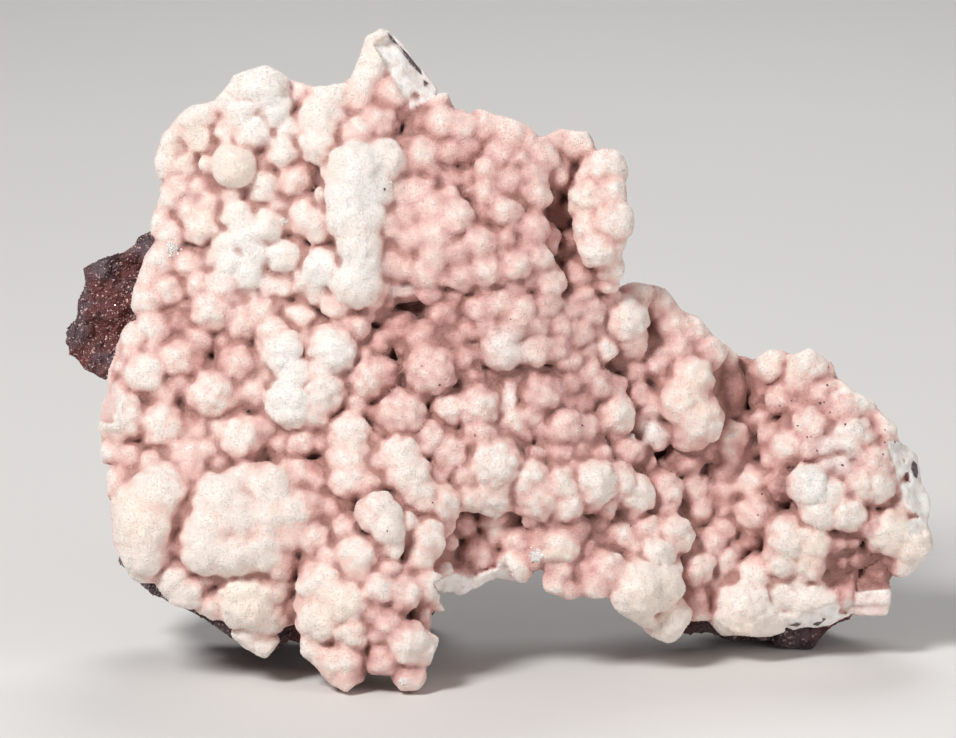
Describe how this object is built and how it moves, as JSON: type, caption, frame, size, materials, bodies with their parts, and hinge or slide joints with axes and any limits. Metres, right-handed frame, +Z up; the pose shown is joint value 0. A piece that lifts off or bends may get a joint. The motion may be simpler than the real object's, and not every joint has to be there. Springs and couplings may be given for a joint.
{
  "type": "calcite on matrix mineral specimen",
  "caption": "Mineral specimen: a crust of pale pink, rounded calcite lumps grown over a plate of dark, glittering rock, standing upright on its own feet.",
  "frame": {"origin": "bottom centre of the whole specimen's box, on the surface that it stands on", "axes": "+Z up, +X along the specimen's length towards its low right-hand end, -Y out of the crust's face, towards the viewer"},
  "size_m": [0.1603, 0.0692, 0.1171],
  "materials": {
    "calcite": "matt, sugary druse over pale pink to cream lumps, darker rose in the hollows",
    "dark_rock": "dark maroon-brown and grey-purple rock with a fine crystalline glitter"
  },
  "bodies": {
    "root": {"calcite_crust": "calcite", "matrix": "dark_rock"}
  },
  "joints": []
}
